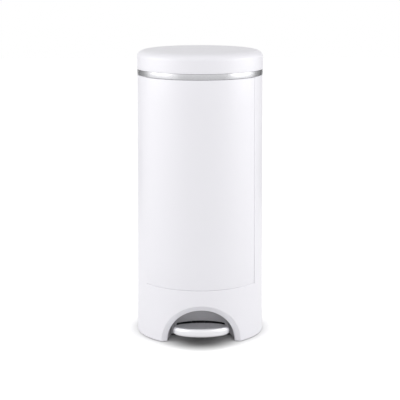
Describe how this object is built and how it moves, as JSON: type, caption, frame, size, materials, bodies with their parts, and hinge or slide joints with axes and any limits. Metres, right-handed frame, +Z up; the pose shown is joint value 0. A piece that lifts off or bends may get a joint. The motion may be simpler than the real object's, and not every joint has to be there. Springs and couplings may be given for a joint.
{
  "type": "nappy bin",
  "caption": "Round white pedal nappy bin with a full-height front door, a hinged flat lid, a bright trim ring and a foot pedal in an arched recess.",
  "frame": {"origin": "on the floor under the middle of the bin", "axes": "+Z up, the pedal and the door face -Y, +X to the right as seen from the front"},
  "size_m": [0.2499, 0.261, 0.5555],
  "materials": {
    "white_shell": "smooth glossy white moulding",
    "white_inner": "white moulding, satin",
    "grey_recess": "mid-grey moulding, satin",
    "bright_ring": "bright plated ring",
    "satin_pedal": "satin silver",
    "dark_moulding": "dark grey engineering plastic",
    "steel": "plain zinc-plated steel",
    "rubber": "soft grey-black rubber",
    "seal": "soft grey seal",
    "film": "thin gathered film",
    "magnet": "sintered magnet"
  },
  "bodies": {
    "bin": {"body_casing": "white_shell", "pedal_recess": "grey_recess", "base_plate": "dark_moulding", "base_screws": "steel", "rubber_feet": "rubber", "pivot_pin": "steel", "chamber_floor": "white_inner", "catch_magnets": "magnet", "door_hinge_pins": "steel", "top_collar": "white_inner", "collar_screws": "steel", "trim_ring": "bright_ring", "hinge_brackets": "dark_moulding", "bracket_screws": "steel", "liner_cassette": "white_inner", "film_pack": "film", "cassette_cover": "white_inner", "flap_frame": "white_inner", "flap_pins": "steel", "cutter_holder": "dark_moulding", "cutter_blade": "steel", "rod_guides": "dark_moulding", "rod_duct": "white_inner", "return_spring": "steel"},
    "door": {"front_door": "white_shell", "door_liner": "white_inner", "keeper_plates": "steel"},
    "lid": {"lid_outer": "white_shell", "lid_inner": "white_inner", "lid_seal": "seal", "lid_screws": "steel", "lid_crank": "steel", "crank_pin": "steel", "lid_hinge_pin": "steel"},
    "pedal": {"pedal_pad": "satin_pedal", "pedal_screws": "steel", "pedal_lever": "dark_moulding"},
    "rod": {"push_rod": "dark_moulding"},
    "left_flap": {"left_flap": "white_inner"},
    "right_flap": {"right_flap": "white_inner"}
  },
  "joints": [
    {"name": "lid_hinge", "type": "hinge", "parent": "bin", "child": "lid", "pos_m": [0, 0.126, 0.517], "axis": [-1, 0, 0], "range_deg": [0, 75]},
    {"name": "pedal_pivot", "type": "hinge", "parent": "bin", "child": "pedal", "pos_m": [0, -0.0261, 0.026], "axis": [1, 0, 0], "range_deg": [0, 8.83]},
    {"name": "rod_slide", "type": "slide", "parent": "bin", "child": "rod", "axis": [0, 0, 1], "range_m": [0, 0.02094], "deforming": ["return_spring"]},
    {"name": "door_hinge", "type": "hinge", "parent": "bin", "child": "door", "pos_m": [-0.09184, -0.06921, 0.3], "axis": [0, 0, -1], "range_deg": [0, 90]},
    {"name": "left_flap_hinge", "type": "hinge", "parent": "bin", "child": "left_flap", "pos_m": [-0.057, 0, 0.4625], "axis": [0, 1, 0], "range_deg": [0, 80], "stiffness_Nm_per_rad": 0.02, "springref_deg": -34.38},
    {"name": "right_flap_hinge", "type": "hinge", "parent": "bin", "child": "right_flap", "pos_m": [0.057, 0, 0.4625], "axis": [0, -1, 0], "range_deg": [0, 80], "stiffness_Nm_per_rad": 0.02, "springref_deg": -34.38}
  ],
  "couplings": [
    {"joint": "pedal_pivot", "follows": "lid_hinge", "ratio": 0.11763},
    {"joint": "rod_slide", "follows": "lid_hinge", "m_per_rad": 0.015993}
  ]
}
